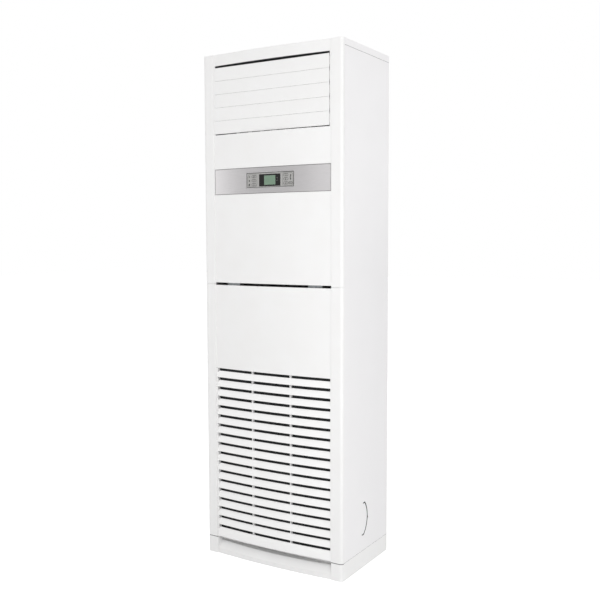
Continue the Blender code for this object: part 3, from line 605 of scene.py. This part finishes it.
def buildControlPrint():
    keys = {
        "pill": (0.0192, 0.0094), "pillLine": 0.0013, "symbol": 0.0034,
        "leftColumn": -0.0621, "rightColumn": 0.0680, "rowPitch": 0.0136,
        "leftMiddle": 1.3538, "rightMiddle": 1.3553,
        "leftSymbols": (snowflake, sun, fanBlades), "rightSymbols": (clockFace, nightMoon, tiltedSlats),
        "lampColumn": -0.0818, "lamp": 0.0027,
        "arrowColumn": 0.0865, "arrowMiddle": 1.3608, "switchRow": 1.3419, "switch": (0.0160, 0.0082),
        "arrowReach": 0.0066, "arrowHead": 0.0037, "arrowStem": (0.0017, 0.0096), "arrowBranch": (0.0044, 0.0016),
        "leftGroup": ((-0.0893, 1.3327), (-0.0487, 1.3753)), "rightGroup": ((0.0543, 1.3329), (0.0964, 1.3768)),
        "groupLine": 0.0010, "groupCorner": 0.008, "letter": 0.0022,
    }
    marks = []

    def pill(place, size, line):
        low = (place[0] - size[0] / 2, place[1] - size[1] / 2)
        high = (place[0] + size[0] / 2, place[1] + size[1] / 2)
        marks.append(flatFrame(low, high, line, size[1] * 0.49))

    for column, middle, symbols in (
        (keys["leftColumn"], keys["leftMiddle"], keys["leftSymbols"]),
        (keys["rightColumn"], keys["rightMiddle"], keys["rightSymbols"]),
    ):
        for row, symbol in enumerate(symbols):
            place = (column, middle + (1 - row) * keys["rowPitch"])
            pill(place, keys["pill"], keys["pillLine"])
            marks.extend(symbol(place, keys["symbol"]))
    lampPlaces = [(keys["lampColumn"], keys["leftMiddle"] + row * keys["rowPitch"]) for row in (1, 0, -1)]
    marks.append(flatRing(lampPlaces[0], keys["lamp"] * 1.1, keys["lamp"] * 0.45))
    marks.append(flatDisc(lampPlaces[1], keys["lamp"]))
    marks.append(flatDisc(lampPlaces[2], keys["lamp"] * 2.0, 3, -90))
    arrow = (keys["arrowColumn"], keys["arrowMiddle"])
    for turn in (0, 180):
        marks.append(flatDisc(around(arrow, keys["arrowReach"], turn), keys["arrowHead"], 3, turn))
    marks.append(flatBar(arrow, keys["arrowStem"]))
    marks.append(flatBar(around(arrow, 0.0028, -90), keys["arrowBranch"]))
    switch = (keys["arrowColumn"], keys["switchRow"])
    pill(switch, keys["switch"], keys["pillLine"])
    marks.append(flatWord("ON/OFF", switch, keys["letter"]))
    layInk(marks, "keyMarks", "control_panel", ink["dark"])

    line, corner = keys["groupLine"], keys["groupCorner"]
    outlines = [flatFrame(*keys[group], line, corner) for group in ("leftGroup", "rightGroup")]
    layInk(outlines, "keyOutlines", "control_panel", ink["soft"])


def buildShadowBorders():
    # painted shade: dark ink lines round the control panel and the silver band stand for the shadows of the panel's
    # seam and of the band's recess step; the panel's top line is the widest, as the shadow under its upper edge
    shadowBorders = {
        "inset": 0.0003,
        "panelLines": (0.0011, 0.0015, 0.0015, 0.0021),
        "bandLines": (0.0010, 0.0012, 0.0014, 0.0014),
    }
    for node, name, lines, colour, slot in (
        ("control_panel", "panelShadowBorder", shadowBorders["panelLines"], "dark", "black_gloss"),
        ("control_band", "bandShadowBorder", shadowBorders["bandLines"], "soft", "grey_overlay"),
    ):
        low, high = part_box(node)
        inset = shadowBorders["inset"]
        shadowFrame = flatFrame((low.x + inset, low.z + inset), (high.x - inset, high.z - inset), lines)
        layInk([shadowFrame], name, node, ink[colour])


def buildDisplayPrint():
    display = {
        "digits": (-0.0062, 0.0052, 0.0166), "middle": 1.3540, "segment": (0.0012, 0.0056), "span": 0.0066,
        "lamps": ((0.0336, 1.3602), (0.0336, 1.3510)), "lamp": 0.0015, "lampLine": 0.0005,
    }
    width, length = display["segment"]
    half = display["span"] / 2
    ghosts = []
    for across in display["digits"]:
        for up in (-1, 0, 1):
            ghosts.append(flatBar((across, display["middle"] + up * display["span"]), (length - 0.001, width)))
        for side in (-1, 1):
            for up in (-1, 1):
                ghosts.append(flatBar((across + side * half, display["middle"] + up * half), (width, length - 0.001)))
    ghost = printingInk("unlitCrystal", "#69826E", "#6D8672")  # a digit that is off still shades the reflector
    layInk(ghosts, "displayGhosts", "display_window", ghost)
    lamps = [flatRing(place, display["lamp"], display["lampLine"]) for place in display["lamps"]]
    layInk(lamps, "bezelLamps", "display_bezel", ink["silver"])


buildControlPrint()
buildShadowBorders()
buildDisplayPrint()
print("printed marks laid on the control band")


# Rear screws: pan heads through the side panels' rear flanges

def buildScrews():
    screw = {
        "radius": 0.0038, "corners": 28, "proud": 0.0012, "sunk": 0.0004, "edge": 0.0007,
        "slot": (0.0009, 0.0046), "slotDepth": 0.0008,
        "across": 0.274, "heights": (0.120, 0.445, 0.770, 1.095, 1.420, 1.745),
    }
    back = cabinetHigh.y
    bpy.ops.mesh.primitive_cylinder_add(
        vertices=screw["corners"], radius=screw["radius"], depth=screw["proud"] + screw["sunk"],
        location=(0, back + (screw["proud"] - screw["sunk"]) / 2, 0), rotation=(math.radians(90), 0, 0),
    )
    head = bpy.context.view_layer.objects.active
    bpy.ops.object.transform_apply(location=True, rotation=True, scale=True)
    rim = head.modifiers.new("rounded head", "BEVEL")
    rim.width = screw["edge"]
    rim.segments = 3
    rim.limit_method = "ANGLE"
    applyAll(head)
    for turn in (0, 90):
        bpy.ops.mesh.primitive_cube_add(
            size=1, location=(0, back + screw["proud"], 0), rotation=(0, math.radians(turn), 0),
        )
        cutter = bpy.context.view_layer.objects.active
        cutter.scale = (screw["slot"][0], 2 * screw["slotDepth"], screw["slot"][1])
        bpy.ops.object.transform_apply(location=True, rotation=True, scale=True)
        recess = head.modifiers.new("cross recess", "BOOLEAN")
        recess.object = cutter
        recess.operation = "DIFFERENCE"
        recess.solver = "EXACT"
        applyAll(head)
        bpy.data.objects.remove(cutter)
    heads = []
    for side in (-1, 1):
        for height in screw["heights"]:
            copy = head.copy()
            copy.data = head.data.copy()
            copy.location = (side * screw["across"], 0, height)
            bpy.context.scene.collection.objects.link(copy)
            heads.append(copy)
    bpy.data.objects.remove(head)
    screws = joinPieces(heads, "rearScrews")
    bpy.ops.object.shade_smooth_by_angle(angle=dressing["smoothAngle"])
    screws.data.materials.clear()
    screws.data.materials.append(addedFinishes["zinc"])
    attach(screws, "cabinet")


buildScrews()
print("rear screws placed")


# Foam pads glued behind the knock-outs of the side and rear panels: they swell into the slits, where their dark is
# painted shade for the slits

def buildShadeFoamPads():
    pad = {
        "radius": 0.092, "corners": 48, "thickness": 0.0030, "edge": 0.0008, "inSlit": 0.0010,
        "sideInside": 0.2808, "sideSetback": -0.06425, "sideHeight": 0.1785,
        "rearInside": 0.17405, "rearHeight": 0.260,
    }
    depth = pad["thickness"] + pad["inSlit"]
    lean = (pad["thickness"] - pad["inSlit"]) / 2  # from the sheet's inner face back to the middle of the pad
    across, up = pad["sideInside"] - lean, (pad["sideSetback"], pad["sideHeight"])
    for name, node, place, turn in (
        ("leftShadeFoamPad", "left_side_panel", (-across, *up), (0, 90, 0)),
        ("rightShadeFoamPad", "right_side_panel", (across, *up), (0, 90, 0)),
        ("rearShadeFoamPad", "rear_panel", (0, pad["rearInside"] - lean, pad["rearHeight"]), (90, 0, 0)),
    ):
        bpy.ops.mesh.primitive_cylinder_add(
            vertices=pad["corners"], radius=pad["radius"], depth=depth, location=place,
            rotation=[math.radians(angle) for angle in turn],
        )
        piece = bpy.context.view_layer.objects.active
        piece.name = name
        bpy.ops.object.transform_apply(location=True, rotation=True, scale=True)
        rim = piece.modifiers.new("pressed rim", "BEVEL")
        rim.width = pad["edge"]
        rim.segments = 3
        rim.limit_method = "ANGLE"
        pressed = piece.modifiers.new("pressed against the sheet", "BOOLEAN")
        pressed.object = frame["nodes"][node]
        pressed.operation = "DIFFERENCE"
        pressed.solver = "EXACT"
        applyAll(piece)
        bpy.ops.object.shade_smooth_by_angle(angle=dressing["smoothAngle"])
        piece.data.materials.clear()
        piece.data.materials.append(addedFinishes["foam"])
        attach(piece, "cabinet")


buildShadeFoamPads()
print("foam pads glued in")


# Painted shade: soft black strips, flush with the sheet, laid over the knock-out slits and in the side panels' upper
# and lower seams as their shadow lines

def placeShadeSeal(marks, name, place, turn, thickness):
    shadeSeal = joinPieces(marks, name)
    shadeSeal.location = place
    shadeSeal.rotation_euler.z = math.radians(turn)
    bpy.ops.object.transform_apply(location=True, rotation=True, scale=True)
    body = shadeSeal.modifiers.new("seal thickness", "SOLIDIFY")
    body.thickness = thickness
    body.offset = 0
    applyAll(shadeSeal)
    bpy.ops.object.mode_set(mode="EDIT")
    bpy.ops.mesh.select_all(action="SELECT")
    bpy.ops.mesh.normals_make_consistent(inside=False)
    bpy.ops.object.mode_set(mode="OBJECT")
    shadeSeal.data.materials.clear()
    shadeSeal.data.materials.append(addedFinishes["foam"])
    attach(shadeSeal, "cabinet")


def knockoutShade(width):
    # painted shade for the knock-out's slit: a dark arc with a hook at each end and a thicker spot at the tab that
    # holds the knock-out
    arc = {
        "radius": 0.080, "corners": 128, "endAcross": 0.0561, "turn": math.radians(4),
        "spot": 0.0034, "spotPlace": (0.0820, -0.0057),
        "hooks": (((0.0472, 0.0502), (0.0608, 0.0542)), ((0.0391, -0.0622), (0.0531, -0.0582))),
    }
    ring = flatLoop(
        flatDisc((0, 0), arc["radius"] + width / 2, arc["corners"]),
        flatDisc((0, 0), arc["radius"] - width / 2, arc["corners"]),
    )
    selectOnly(ring)
    bpy.ops.object.mode_set(mode="EDIT")
    bpy.ops.mesh.select_all(action="SELECT")
    bpy.ops.mesh.bisect(plane_co=(arc["endAcross"], 0, 0), plane_no=(1, 0, 0), clear_inner=True)
    bpy.ops.object.mode_set(mode="OBJECT")
    ring.rotation_euler.y = arc["turn"]
    bpy.ops.object.transform_apply(location=True, rotation=True, scale=True)
    hooks = [flatPlate(low, high) for low, high in arc["hooks"]]
    return [ring, flatDisc(arc["spotPlace"], arc["spot"], 16)] + hooks


def buildShadeSeals():
    shadeSeal = {
        "width": 0.0050, "thickness": 0.0010, "side": 0.2816, "setback": -0.06425, "height": 0.1785,
        "rear": 0.1748, "rearHeight": 0.260, "stripEnds": (-0.1548, 0.1765),
        "coverSeam": (1.77665, 1.77745), "plinthSeam": (0.06140, 0.06190),
    }
    front, back = shadeSeal["stripEnds"]
    for side, name in ((-1, "left"), (1, "right")):
        knockout = knockoutShade(shadeSeal["width"])
        place = (side * shadeSeal["side"], shadeSeal["setback"], shadeSeal["height"])
        placeShadeSeal(knockout, name + "KnockoutShade", place, 90, shadeSeal["thickness"])
        strips = [flatPlate((front, low), (back, high)) for low, high in (shadeSeal["coverSeam"], shadeSeal["plinthSeam"])]
        placeShadeSeal(strips, name + "SeamShadeStrips", (side * shadeSeal["side"], 0, 0), 90, shadeSeal["thickness"])
    rear = knockoutShade(shadeSeal["width"])
    placeShadeSeal(rear, "rearKnockoutShade", (0, shadeSeal["rear"], shadeSeal["rearHeight"]), 0, shadeSeal["thickness"])


buildShadeSeals()
print("seals laid")


# Seam gaskets: soft dark strips that stand in the seam between the plinth and the two front posts, as painted shade
# for the seam's shadow line

def buildSeamShadeGaskets():
    shadeGasket = {"seamMiddle": 0.0605, "half": 0.0006, "fromMiddle": 0.239, "behind": -0.1535, "thickness": 0.0046}
    piece = bpy.data.objects.new("seamShadeGaskets", frame["nodes"]["base_plinth"].data.copy())
    bpy.context.scene.collection.objects.link(piece)
    selectOnly(piece)
    bpy.ops.object.mode_set(mode="EDIT")
    bpy.ops.mesh.select_all(action="SELECT")
    bpy.ops.mesh.remove_doubles(threshold=dressing["weld"])
    bpy.ops.mesh.customdata_custom_splitnormals_clear()
    bpy.ops.mesh.select_all(action="DESELECT")
    bpy.ops.mesh.select_mode(type="FACE")
    bpy.ops.object.mode_set(mode="OBJECT")
    for face in piece.data.polygons:
        inSeam = abs(face.center.z - shadeGasket["seamMiddle"]) < shadeGasket["half"] and abs(face.normal.z) < 0.1
        atPost = abs(face.center.x) > shadeGasket["fromMiddle"] and face.center.y < shadeGasket["behind"]
        face.select = not (inSeam and atPost)
    bpy.ops.object.mode_set(mode="EDIT")
    bpy.ops.mesh.delete(type="FACE")
    bpy.ops.mesh.select_mode(type="VERT")
    bpy.ops.object.mode_set(mode="OBJECT")
    body = piece.modifiers.new("strip thickness", "SOLIDIFY")
    body.thickness = shadeGasket["thickness"]
    body.offset = 1
    body.use_even_offset = True
    applyAll(piece)
    bpy.ops.object.shade_smooth_by_angle(angle=dressing["smoothAngle"])
    piece.data.materials.clear()
    piece.data.materials.append(addedFinishes["foam"])
    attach(piece, "cabinet")
    print("seam gaskets:", len(piece.data.polygons), "faces")


buildSeamShadeGaskets()


# Floor, light and camera

def seenRays(tree):
    # 1 for what the camera sees, also by reflection or through glass
    path = addNode(tree, "ShaderNodeLightPath")
    either = addNode(
        tree, "ShaderNodeMath", {"operation": "MAXIMUM"},
        {0: path.outputs["Is Camera Ray"], 1: path.outputs["Is Glossy Ray"]},
    )
    return addNode(
        tree, "ShaderNodeMath", {"operation": "MAXIMUM"},
        {0: either.outputs[0], 1: path.outputs["Is Transmission Ray"]},
    ).outputs[0]


def buildFloor():
    floorLook = {"size": 40.0, "below": 0.0005, "paint": "#E4E4E4", "lift": 0.58}
    bpy.ops.mesh.primitive_plane_add(size=floorLook["size"], location=(0, 0, cabinetLow.z - floorLook["below"]))
    floor = bpy.context.view_layer.objects.active
    floor.name = "studioFloor"
    material = bpy.data.materials.new("mattStudioPaint")  # pale matt paint that still shows the cabinet's shadow
    material.use_nodes = True
    tree = material.node_tree
    tree.nodes.clear()
    paint = addNode(tree, "ShaderNodeBsdfDiffuse", {"Color": linear(floorLook["paint"])})
    glow = addNode(tree, "ShaderNodeEmission", {"Strength": floorLook["lift"]})
    nothing = addNode(tree, "ShaderNodeEmission", {"Strength": 0.0})
    lift = addNode(tree, "ShaderNodeMixShader", links={1: nothing.outputs[0], 2: glow.outputs[0]})
    tree.links.new(seenRays(tree), lift.inputs[0])
    both = addNode(tree, "ShaderNodeAddShader", links={0: paint.outputs[0], 1: lift.outputs[0]})
    addNode(tree, "ShaderNodeOutputMaterial", links={"Surface": both.outputs[0]})
    floor.data.materials.append(material)


def buildWorld(dome):
    world = bpy.data.worlds.new("whiteStudio")
    bpy.context.scene.world = world
    world.use_nodes = True
    tree = world.node_tree
    tree.nodes.clear()
    light = addNode(tree, "ShaderNodeBackground", {"Color": linear("#FFFFFF"), "Strength": dome})
    white = addNode(tree, "ShaderNodeBackground", {"Color": linear("#FFFFFF"), "Strength": 1.0})
    choice = addNode(tree, "ShaderNodeMixShader", links={1: light.outputs[0], 2: white.outputs[0]})
    tree.links.new(seenRays(tree), choice.inputs[0])
    addNode(tree, "ShaderNodeOutputWorld", links={"Surface": choice.outputs[0]})


def buildLamp(name, azimuth, distance, height, aimHeight, size, power):
    # azimuth is counted from straight in front of the cabinet, towards its right
    turn = math.radians(azimuth)
    place = Vector((math.sin(turn) * distance, -math.cos(turn) * distance, height))
    aim = Vector((0, 0, aimHeight))
    lamp = bpy.data.lights.new(name, "AREA")
    lamp.shape = "RECTANGLE"
    lamp.size, lamp.size_y = size
    lamp.energy = power
    holder = bpy.data.objects.new(name, lamp)
    holder.location = place
    holder.rotation_euler = (aim - place).to_track_quat("-Z", "Y").to_euler()
    bpy.context.scene.collection.objects.link(holder)


def buildCamera():
    shot = {
        "place": (1.5642, -2.5385, 1.1546), "pan": math.radians(31.385),
        "tilt": math.radians(90 - 4.269), "roll": math.radians(-0.158), "lensMm": 49.415,
    }
    lens = bpy.data.cameras.new("photoView")
    lens.lens = shot["lensMm"]
    lens.sensor_width = 36
    lens.sensor_fit = "HORIZONTAL"
    holder = bpy.data.objects.new("photoView", lens)
    turn = (
        Matrix.Rotation(shot["pan"], 4, "Z") @ Matrix.Rotation(shot["tilt"], 4, "X")
        @ Matrix.Rotation(shot["roll"], 4, "Z")
    )
    holder.matrix_world = Matrix.Translation(shot["place"]) @ turn
    bpy.context.scene.collection.objects.link(holder)
    bpy.context.scene.camera = holder


buildFloor()
buildWorld(0.60)
lamps = [
    ("highSoftbox", 8, 2.4, 3.0, 0.9, (1.2, 1.2), 8),
    ("keySoftbox", 50, 2.4, 2.8, 0.9, (1.2, 1.2), 10),
    ("nearSoftbox", 40, 2.0, 0.9, 0.9, (1.0, 1.6), 10),
    ("sideSoftbox", 80, 2.6, 1.2, 0.8, (1.4, 2.0), 7),
    # two tall strips that the brushed film mirrors at its left and right ends
    ("leftStrip", -52, 3.0, 1.5, 0.9, (0.7, 2.2), 7.5),
    ("frontStrip", -14, 3.2, 1.5, 0.9, (0.6, 2.2), 4.5),
    ("rearSoftbox", 165, 3.2, 2.2, 0.9, (2.0, 2.0), 12),
]
for lamp in lamps:
    buildLamp(*lamp)
buildCamera()
bpy.context.scene.view_settings.view_transform = "Standard"
print("stage set:", len(lamps), "lamps")
